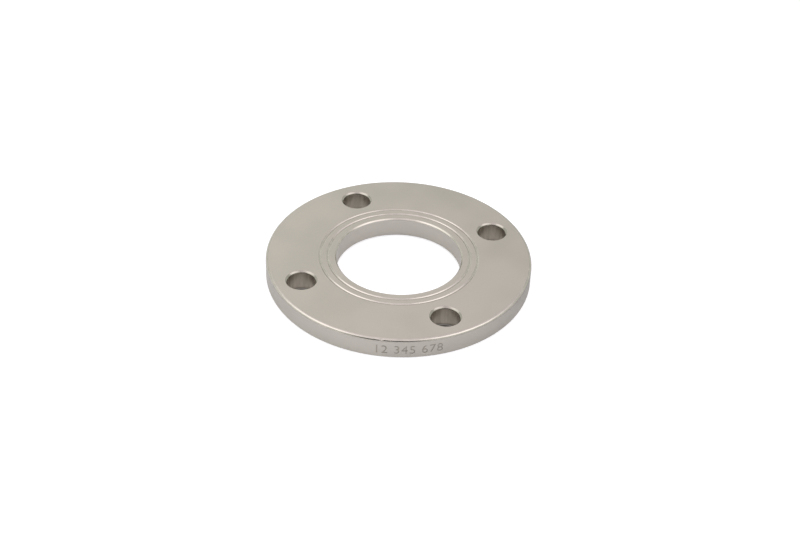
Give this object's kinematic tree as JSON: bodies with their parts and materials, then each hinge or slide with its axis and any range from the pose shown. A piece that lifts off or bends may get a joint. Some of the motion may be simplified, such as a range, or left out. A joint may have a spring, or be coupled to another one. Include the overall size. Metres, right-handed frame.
{
  "type": "slip on flange",
  "caption": "Flat round plate flange that slips over a pipe and is welded on; bolts through the holes around its bore clamp it to a matching flange, and fine face grooves grip the gasket.",
  "frame": {"origin": "centre of the back face, on the bore axis", "axes": "+Z along the bore, out of the sealing face; the bolt holes straddle the X and Y centre lines"},
  "size_m": [0.1605, 0.1604, 0.0127],
  "materials": {
    "satin_stainless": "warm grey satin stainless steel, fine turned and lightly blasted, with crisp bright edges"
  },
  "bodies": {
    "root": {"flange": "satin_stainless"}
  },
  "joints": []
}
